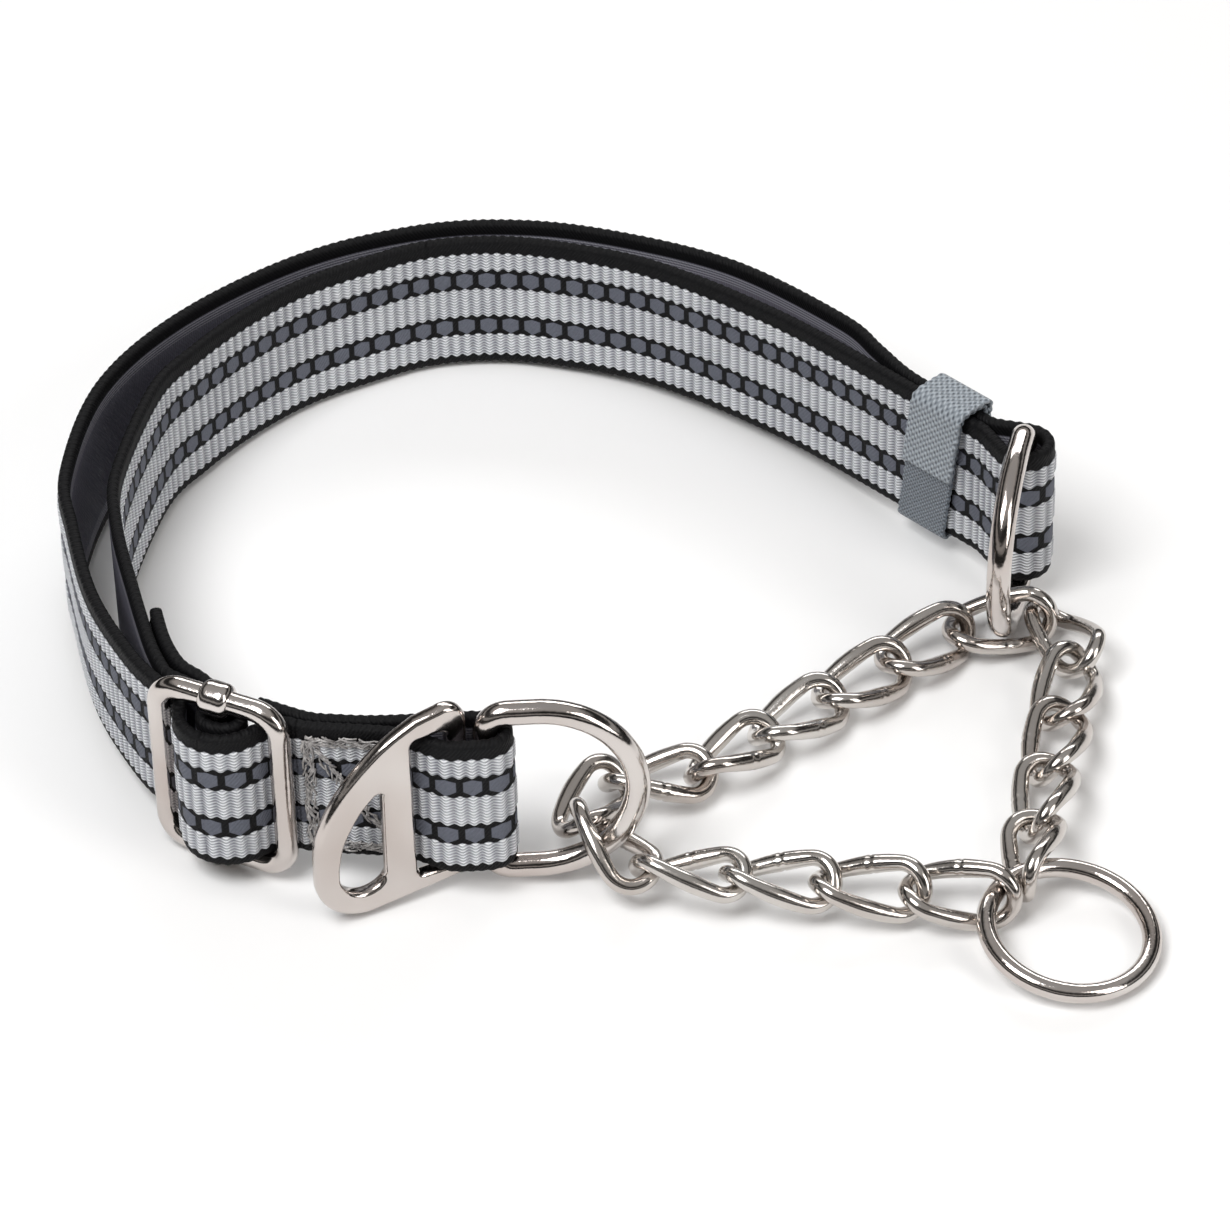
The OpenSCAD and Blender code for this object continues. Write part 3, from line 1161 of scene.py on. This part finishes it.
@dataclass
class Keeper:
    """The fabric keeper round both layers by the right D-ring."""

    length: float = 10.0
    thick: float = 0.8
    inner: tuple[float, float] = (4.9, 25.2)
    lean: float = 0.14
    shift: float = -1.6
    corner: float = 1.6
    under_proud: float = 0.5
    over_proud: float = 1.25
    overlap: float = 0.43

    def band(
        self, name: str, stop: float, proud: float, finish: Material, length: float
    ) -> Object:
        """One band round the strap, from mid height on the neck side.

        Args:
            name: The band's name.
            stop: Where it ends, in turns.
            proud: How far it stands off the inner size.
            finish: Its material.
            length: Its length along the strap.

        Returns:
            The band.
        """
        y, z = self.inner[0] / 2 + proud, self.inner[1] / 2 + proud
        start = Vector((0, y, 0))
        signs = ((1, 1), (-1, 1), (-1, -1), (1, -1))
        box = [Vector((0, a * y, b * z)) for a, b in signs]
        loop = evened(bent(box, self.corner, 6), 0.3)
        begin = min(range(len(loop)), key=lambda i: (loop[i] - start).length)
        loop = loop[begin:] + loop[:begin]
        count = len(loop)
        pick = [loop[k % count] for k in range(int(stop * count) + 1)]
        at = np.array([p - Vector((length / 2, 0, 0)) for p in pick])
        run = run_along(at)
        t = np.gradient(at, axis=0)
        t /= np.linalg.norm(t, axis=1)[:, None]
        along = np.tile([1.0, 0.0, 0.0], (len(at), 1))
        out = np.cross(t, along)
        if out[0][1] < 0:
            out = -out
        section = TapeSection(length, self.thick, 24, 6)
        bm = Tape(section, None).build(at, out, along, run)
        leant = Matrix.Identity(4)
        leant[0][2], leant[0][3] = self.lean, self.shift
        obj = finished(name, bm, finish, KEEPER.matrix(STRAP_WIDTH / 2) @ leant)
        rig.slot(obj, "keeper")
        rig.ride(obj, "keeper")
        return obj

    def build(self) -> list[Object]:
        """Builds the lower and the overlapping band."""
        fine = KeeperFinish((0.24, 0.28, 0.325), (0.03, 0.038, 0.05), 0.85)
        coarse = KeeperFinish((0.46, 0.51, 0.56), (0.06, 0.075, 0.095), 1.2)
        lower, upper = fine.make("keeper_fine"), coarse.make("keeper_coarse")
        under = self.band("keeper_under", 1.0, self.under_proud, lower, self.length)
        wide = self.length + 0.5
        over = self.band("keeper_over", self.overlap, self.over_proud, upper, wide)
        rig.replaces(under, "keeper_band")
        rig.replaces(over, "keeper_overlap")
        return [under, over]


@dataclass
class Slide:
    """The adjuster slide: a wire frame and a bar with two sleeves."""

    wire: float = 3.5
    length: float = 20.5
    corner: float = 4.0
    height: float = 29.5
    mid: float = 12.8
    bar_radius: float = 1.5
    sleeves: tuple[Point3, ...] = ((1, 2.75, 2.6), (-1, 2.15, 2.3))

    def build(self, nickel: Material) -> list[Object]:
        """Builds the frame and the bar.

        Args:
            nickel: The plating.

        Returns:
            Both pieces.
        """
        x, z = self.length / 2, self.height / 2
        signs = ((-1, -1), (1, -1), (1, 1), (-1, 1))
        corners = [Vector((a * x, 0, b * z)) for a, b in signs]
        line = evened(bent(corners, self.corner, 16), 0.45)
        r = self.wire / 2

        def radius(share: float) -> float:
            """The wire's radius, with its weld."""
            p = line[int(share * len(line) + 0.5) % len(line)]
            seam = bell(p.z - 0.4, 0.16) if p.x < -x + 0.5 else 0.0
            return r * (1.0 - 0.07 * seam)

        place = SLIDE.matrix(self.mid)
        hints = [Vector((0, 1, 0))] * len(line)
        loop = wire_loop("slide_wire", line, radius, hints, nickel, place)
        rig.replaces(loop, "slide_frame")

        bm = bmesh.new()
        bar = [Vector((0, 0, -z + 2 * z * k / 40)) for k in range(41)]
        Tube(24).add(bm, bar, lambda s: self.bar_radius, False)
        for end, thick, half in self.sleeves:
            path = [Vector((-half + 2 * half * k / 28, 0, end * z)) for k in range(29)]

            def taper(share: float, thick: float = thick) -> float:
                """The sleeve's radius, which thins at its ends."""
                return thick - 0.95 * abs(2 * share - 1) ** 5 * (thick - r + 0.3)

            Tube(WIRE_SIDES).add(bm, path, taper, False)
        bmesh.ops.recalc_face_normals(bm, faces=bm.faces)
        lug = finished("slide_lug", bm, nickel, place)
        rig.replaces(lug, "slide_bar")
        for obj in (loop, lug):
            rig.slot(obj, "nickel")
            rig.ride(obj, "slide")
        return [loop, lug]


@dataclass
class LeashPlate:
    """The flat plate with a strap slot and a D-shaped hole."""

    thick: float = 2.6
    round_edge: float = 1.0
    drop: float = -4.6

    def outline(self) -> list[list[Point2]]:
        """The outer edge, the hole and the slot, in the plate's own plan."""
        edge = (
            arc((0.2, 3.6), 1.9, 180, 260, 8)
            + arc((15.2, 8.4), 8.4, 270, 360, 24)
            + spline([(23.6, 9.8), (22.9, 16.8), (19, 24), (12.4, 30.4), (6.4, 33.7)], 10)
            + arc((1.6, 31.2), 3.4, 70, 180, 14)
        )
        hole = (
            arc((15.7, 8.2), 4, 225, 365, 22)
            + spline([(19.6, 10.2), (18.6, 14.6), (15.9, 19.4), (13.4, 22)], 8)
            + arc((12.9, 21.4), 0.7, 60, 180, 6)
            + [(12.2, 6.4)]
        )
        corners = ((1.6, 4.1), (7.2, 4.1), (7.2, 30.1), (1.6, 30.1))
        slot = bent([Vector((*p, 0)) for p in corners], 1.0, 6)
        return [edge, hole, [(p.x, p.y) for p in slot]]

    def build(self, nickel: Material) -> Object:
        """Builds the plate.

        Args:
            nickel: The plating.

        Returns:
            The plate.
        """
        curve = bpy.data.curves.new("plate_outline", "CURVE")
        curve.dimensions = "2D"
        curve.fill_mode = "BOTH"
        curve.extrude = self.thick / 2 - self.round_edge
        curve.bevel_depth = self.round_edge
        curve.bevel_resolution = 5
        curve.offset = -self.round_edge
        for ring in self.outline():
            path = curve.splines.new("POLY")
            path.points.add(len(ring) - 1)
            for point, (x, y) in zip(path.points, ring):
                point.co = (x, y, 0.0, 1.0)
            path.use_cyclic_u = True
        holder = bpy.data.objects.new("plate_outline", curve)
        bpy.context.scene.collection.objects.link(holder)
        graph = bpy.context.evaluated_depsgraph_get()
        mesh = bpy.data.meshes.new_from_object(holder.evaluated_get(graph))
        bpy.data.objects.remove(holder)
        bm = bmesh.new()
        bm.from_mesh(mesh)
        bmesh.ops.remove_doubles(bm, verts=bm.verts, dist=1e-4)
        bmesh.ops.recalc_face_normals(bm, faces=bm.faces)
        place = (
            LIFT
            @ Matrix.Translation((*PLATE_AT, self.drop))
            @ turned(180 + PLATE_TURN, "Z")
            @ turned(90, "X")
        )
        obj = finished("leash_plate_polished", bm, nickel, place)
        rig.slot(obj, "nickel")
        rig.ride(obj, "plate")
        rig.replaces(obj, "leash_plate")
        return obj


@dataclass
class DRing:
    """A welded D-ring with its bar in a fold of the strap."""

    name: str
    node: str
    body: str
    at: Point2
    turn: float
    wire: float = 3.8
    inner: float = 26.0
    depth: float = 22.5
    corner: float = 3.5

    def build(self, nickel: Material) -> Object:
        """Builds the ring.

        Args:
            nickel: The plating.

        Returns:
            The ring.
        """
        r = (self.inner + self.wire) / 2
        c, x = self.corner, self.depth - r
        turn = np.linspace(0, math.pi / 2, 12)
        bow = np.linspace(math.pi / 2, -math.pi / 2, 48)
        line = [Vector((0, 0, c - r)), Vector((0, 0, r - c))]
        for a in turn[1:]:
            line.append(Vector((c - c * math.cos(a), 0, r - c + c * math.sin(a))))
        for a in bow:
            line.append(Vector((x + r * math.cos(a), 0, r * math.sin(a))))
        for a in turn[:-1]:
            line.append(Vector((c - c * math.sin(a), 0, c - r - c * math.cos(a))))
        even = evened(line, 0.45)

        def radius(share: float) -> float:
            """The wire's radius, with its weld."""
            p = even[int(share * len(even) + 0.5) % len(even)]
            weld = bell(p.z - 2.0, 0.35) if p.x < 1 else 0.0
            return self.wire / 2 * (1.0 + 0.04 * weld)

        place = LIFT @ Matrix.Translation((*self.at, STRAP_WIDTH / 2))
        place = place @ turned(self.turn, "Z")
        hints = [Vector((0, 1, 0))] * len(even)
        obj = wire_loop(self.name, even, radius, hints, nickel, place)
        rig.slot(obj, "nickel")
        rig.ride(obj, self.body)
        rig.replaces(obj, self.node)
        return obj


@dataclass
class LeashRing:
    """The round ring on the chain, with a butt weld."""

    at: Point3 = (69.8, -66.5, 3.2)
    mean: float = 25.0
    wire: float = 3.0
    seam: float = 0.31
    heading: float = 150.0
    rise: float = -7.6
    points: int = 160

    def build(self, nickel: Material) -> Object:
        """Builds the ring.

        Args:
            nickel: The plating.

        Returns:
            The ring.
        """
        r, full = self.mean / 2, 2 * math.pi
        angles = [full * k / self.points for k in range(self.points)]
        line = [Vector((r * math.cos(a), r * math.sin(a), 0)) for a in angles]

        def radius(share: float) -> float:
            """The wire's radius, with its weld."""
            d = (share - self.seam) * math.pi * self.mean
            return self.wire / 2 * (1.0 + 0.05 * bell(d, 0.9) - 0.12 * bell(d, 0.22))

        place = Matrix.Translation(STANCE.shift + Vector(self.at))
        place = place @ turned(self.heading, "Z") @ turned(self.rise, "Y")
        hints = [Vector((0, 0, 1))] * self.points
        obj = wire_loop("leash_ring_polished", line, radius, hints, nickel, place)
        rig.slot(obj, "nickel")
        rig.ride(obj, "pull_ring")
        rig.replaces(obj, "leash_ring")
        return obj


LinkPose = tuple[float, float, float, float, float, float]


@dataclass
class Chain:
    """Seventeen twisted curb links in a loop through both D-rings."""

    wire: float = 2.5
    swell: float = 0.2
    inner: float = 13.8
    width: float = 10.5
    twist: float = 90.0
    unswollen: tuple[str, ...] = ("a6", "b1")
    flat_steps: int = 20
    bend_steps: int = 28

    def poses(self) -> dict[str, LinkPose]:
        """Each link's centre, heading, rise and roll."""

        def arm(
            letter: str, numbers: Iterable[int], first: LinkPose, last: LinkPose
        ) -> dict[str, LinkPose]:
            """Four links laid evenly between two poses."""
            return {
                f"{letter}{n}": tuple(a + (b - a) * i / 3 for a, b in zip(first, last))
                for i, n in enumerate(numbers)
            }

        return {
            "k": (-0.7, -40.7, 5.7, 65, -6, 3),
            "a1": (8.9, -33.8, 4, 10, 0, -8),
            **arm(
                "a", range(2, 6),
                (20.5, -28.4, 4.3, 41, 0, -11), (51.3, -3.3, 4.2, 37, 0, 24),
            ),
            "a6": (63, 1.6, 4.3, 9, 5, 29),
            "b1": (73.1, -1.2, 4.1, -69, 8, 3),
            **arm(
                "b", range(2, 6),
                (72.7, -13.6, 4.2, -106, 0, -3), (65, -51.4, 5.1, -97, 4, 44),
            ),
            **arm(
                "c", range(1, 5),
                (53.8, -60.6, 4.9, 174, 1, -31), (13.6, -56.4, 5.6, 173, 1, 20),
            ),
            "c5": (1.8, -51.7, 6.7, 131, 14, 26),
        }

    def link(self, name: str, pose: LinkPose, nickel: Material) -> Object:
        """Builds one link.

        Args:
            name: The link's short name.
            pose: Its centre, heading, rise and roll.
            nickel: The plating.

        Returns:
            The link.
        """
        r = (self.width - self.wire) / 2
        long = self.inner + self.wire
        flat = long - 2 * r
        bend = [math.pi * k / self.bend_steps for k in range(self.bend_steps)]
        run = [-flat / 2 + flat * k / self.flat_steps for k in range(self.flat_steps)]
        back = [flat / 2 - flat * k / self.flat_steps for k in range(self.flat_steps)]
        flat_line = [(x, -r) for x in run]
        flat_line += [(flat / 2 + r * math.sin(a), -r * math.cos(a)) for a in bend]
        flat_line += [(x, r) for x in back]
        flat_line += [(-flat / 2 - r * math.sin(a), r * math.cos(a)) for a in bend]
        line, hints = [], []
        for x, y in flat_line:
            w = math.radians(x / long * self.twist)
            line.append(Vector((x, y * math.cos(w), y * math.sin(w))))
            hints.append(Vector((0, -math.sin(w), math.cos(w))))
        n = len(line)

        def radius(share: float) -> float:
            """The wire's radius, with its weld."""
            d = (share - 10 / n) * 40.0
            x = flat_line[int(share * n + 0.5) % n][0]
            middle = min(abs(x) / (flat / 2 + 1.5), 1.0)
            swell = 0.0 if name in self.unswollen else self.swell
            full = self.wire / 2 + swell * (0.5 + 0.5 * math.cos(math.pi * middle))
            return full * (1.0 + 0.03 * bell(d, 0.8) - 0.09 * bell(d, 0.2))

        place = Matrix.Translation(STANCE.shift + Vector(pose[:3]))
        place = place @ turned(pose[3], "Z") @ turned(-pose[4], "Y")
        place = place @ turned(pose[5], "X")
        obj = wire_loop(f"curb_{name}", line, radius, hints, nickel, place, 20)
        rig.slot(obj, "chain")
        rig.ride(obj, f"chain_{name}")
        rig.replaces(obj, f"link_{name}")
        return obj

    def build(self, nickel: Material) -> list[Object]:
        """Builds all links."""
        return [self.link(name, pose, nickel) for name, pose in self.poses().items()]


@dataclass
class Stitching:
    """Nylon thread: the box and cross on the front, and the tacks behind."""

    thread: float = 0.15
    seed: int = 7

    def row(
        self, bm: BMesh, rng: random.Random, a: Vector, b: Vector, out: Vector,
        passes: int,
    ) -> None:
        """Sews uneven passes of short stitches along a line.

        Args:
            bm: The mesh that takes the stitches.
            rng: The seeded source of unevenness.
            a: The line's start.
            b: Its end.
            out: Unit direction off the cloth.
            passes: How many times it is sewn over.
        """
        run = (b - a).length
        side = (b - a).normalized().cross(out)
        for _ in range(passes):
            s = rng.uniform(-0.8, 0.2)
            while s < run:
                e = s + rng.uniform(1.5, 2.5)
                offsets = [rng.uniform(-1.0, 1.0) for _ in range(2)]
                heads = [
                    a.lerp(b, min(max(q / run, 0), 1)) + side * w
                    for q, w in zip((s, e), offsets)
                ]
                rise = rng.uniform(0.22, 0.42)
                path = []
                for q in range(7):
                    bow = rise * math.sin(math.pi * (0.12 + 0.76 * q / 6)) - 0.02
                    path.append(heads[0].lerp(heads[1], q / 6) + out * bow)
                Tube(6).add(bm, path, lambda q: self.thread, False)
                s = e - rng.uniform(0.0, 0.35)

    def build(self, finish: Material) -> list[Object]:
        """Builds both sets of stitches.

        Args:
            finish: The thread's material.

        Returns:
            Both pieces.
        """
        rng = random.Random(self.seed)
        start, end = Vector((-43.2, -50.5, 0)), Vector((-29.5, -52.1, 0))
        out = Vector((-0.11, -0.994, 0)).normalized()
        lift = out * (STRAP_THICK / 2 + 0.05)

        def at(share: float, z: float) -> Vector:
            """A point on the cloth, at a share of the way along."""
            sag = Vector((0, -0.12 * math.sin(math.pi * share), 0))
            return start.lerp(end, share) + lift + sag + Vector((0, 0, z))

        bm = bmesh.new()
        low, high = 2.4, 22.4
        rows = (
            (0.02, low, 0.98, low, 6), (0.02, high, 0.98, high, 7),
            (0.04, low, 0.04, high, 8), (0.96, low, 0.96, high, 5),
            (0.04, low, 0.96, high, 5), (0.04, high, 0.96, low, 5),
        )
        for x0, z0, x1, z1, passes in rows:
            self.row(bm, rng, at(x0, z0), at(x1, z1), out, passes)
        bmesh.ops.recalc_face_normals(bm, faces=bm.faces)
        box = finished("box_and_cross", bm, finish, LIFT)
        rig.replaces(box, "box_stitch")

        bm = bmesh.new()
        for x, y in ((-11.3, -8.3), (-16.2, -12.4)):
            foot = Vector((*SLIDE.point(x, y), 3.0))
            normal = Vector((*SLIDE.point(x + 0.5, y - 0.85), 3.0)) - foot
            normal.normalize()
            a = foot + normal * (STRAP_THICK / 2 + 0.1)
            self.row(bm, rng, a, a + Vector((0, 0, 19)), normal, 3)
        bmesh.ops.recalc_face_normals(bm, faces=bm.faces)
        tacks = finished("end_tacks", bm, finish, LIFT)
        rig.replaces(tacks, "end_stitch")
        for obj in (box, tacks):
            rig.slot(obj, "thread")
            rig.ride(obj, "webbing")
        return [box, tacks]


# ---- studio ----


class Tone(Enum):
    """Colour of a light."""

    NEUTRAL = (1.0, 1.0, 1.0)
    WARM = (1.0, 0.97, 0.94)


@dataclass
class Studio:
    """The pale floor, soft lights, a banded world for the metal to reflect, and the camera."""

    target: Point3 = (0.0029, 0.0088, 0.0001)
    distance: float = 0.9
    elevation: float = 41.0
    lens: float = 165.7

    def camera(self) -> None:
        """Sets the camera."""
        data = bpy.data.cameras.new("camera")
        data.lens = self.lens
        data.sensor_width = 36.0
        data.clip_start = 0.01
        e = math.radians(self.elevation)
        obj = bpy.data.objects.new("camera", data)
        away = Vector((0, -math.cos(e), math.sin(e)))
        obj.location = Vector(self.target) + self.distance * away
        obj.rotation_euler = (math.radians(90 - self.elevation), 0, 0)
        bpy.context.scene.collection.objects.link(obj)
        bpy.context.scene.camera = obj

    def area(
        self, name: str, at: Point3, size: Point2, power: float, tone: Tone
    ) -> None:
        """An area light that looks at the collar.

        Args:
            name: The light's name.
            at: Where it hangs.
            size: Its width and height.
            power: Watts.
            tone: Its colour.
        """
        data = bpy.data.lights.new(name, "AREA")
        data.shape = "RECTANGLE"
        data.size, data.size_y = size
        data.energy = power
        data.color = tone.value
        obj = bpy.data.objects.new(name, data)
        obj.location = at
        look = Vector(self.target) - Vector(at)
        obj.rotation_euler = look.to_track_quat("-Z", "Y").to_euler()
        bpy.context.scene.collection.objects.link(obj)

    def floor(self) -> None:
        """The pale floor under the collar."""
        bm = bmesh.new()
        bmesh.ops.create_grid(bm, x_segments=1, y_segments=1, size=2500.0)
        f = Finish("floor_white", 0.7)
        f.shader.inputs["Base Color"].default_value = (0.93, 0.93, 0.93, 1.0)
        f.shader.inputs["Specular IOR Level"].default_value = 0.1
        obj = finished("floor", bm, f.material, Matrix.Translation((0, 0, -0.3)))
        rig.stage(obj)

    def world(self) -> None:
        """A bright room with dark gaps for the metal to reflect."""
        world = bpy.data.worlds.new("room")
        world.use_nodes = True
        bpy.context.scene.world = world
        tree = world.node_tree
        back = tree.nodes["Background"]
        place = tree.nodes.new("ShaderNodeTexCoord")
        split = tree.nodes.new("ShaderNodeSeparateXYZ")
        ramp = tree.nodes.new("ShaderNodeValToRGB")
        tree.links.new(place.outputs["Generated"], split.inputs[0])
        tree.links.new(split.outputs[2], ramp.inputs[0])
        stops = (
            (0.2, 0.04), (0.26, 0.7), (0.36, 0.9), (0.42, 0.08), (0.62, 0.04),
            (0.7, 0.5), (0.8, 1.0),
        )
        ramp.color_ramp.elements[0].color = (0.03, 0.028, 0.027, 1)
        ramp.color_ramp.elements[1].position = 1.0
        ramp.color_ramp.elements[1].color = (1, 1, 1, 1)
        for position, level in stops:
            stop = ramp.color_ramp.elements.new(position)
            stop.color = (level, level * 0.97, level * 0.94, 1)
        tree.links.new(ramp.outputs[0], back.inputs["Color"])
        back.inputs["Strength"].default_value = 0.42

    def build(self) -> None:
        """Sets the camera, the floor and the lights."""
        self.camera()
        self.floor()
        self.world()
        self.area("key", (-0.35, -0.35, 0.85), (0.5, 0.5), 7.3, Tone.NEUTRAL)
        self.area("fill", (0.7, -0.5, 0.5), (0.35, 0.7), 3.0, Tone.WARM)
        self.area("rim", (0.1, 0.8, 0.6), (0.9, 0.3), 3.4, Tone.NEUTRAL)
        bpy.context.scene.view_settings.view_transform = "Standard"


def main() -> None:
    """Builds the collar and its studio, and reports each piece."""
    logging.basicConfig(level=logging.INFO, format="%(name)s: %(message)s")
    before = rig.bounds()
    Studio().build()
    nickel = NickelFinish().make("nickel_plate")
    chain_nickel = NickelFinish((0.6, 0.57, 0.54), 0.13).make("nickel_chain")
    pieces = Webbing().build(WebbingFinish().make("webbing_weave"))
    pieces += Stitching().build(ThreadFinish().make("nylon_thread"))
    pieces += Keeper().build()
    pieces += Slide().build(nickel)
    pieces.append(LeashPlate().build(nickel))
    for ring in (
        DRing("left_d_polished", "left_d_ring", "left_ring", LEFT_RING_AT, 3.0),
        DRing("right_d_polished", "right_d_ring", "right_ring", RIGHT_RING_AT, 257.0),
    ):
        pieces.append(ring.build(nickel))
    pieces.append(LeashRing().build(nickel))
    pieces += Chain().build(chain_nickel)
    for piece in pieces:
        log.info("%s: %d faces", piece.name, len(piece.data.polygons))
    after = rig.bounds()
    sizes = {"cad": [list(map(float, p)) for p in before], "visual": [list(map(float, p)) for p in after]}
    with open("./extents.json", "w", encoding="utf-8") as out:
        json.dump(sizes, out)


if __name__ == "__main__":
    main()
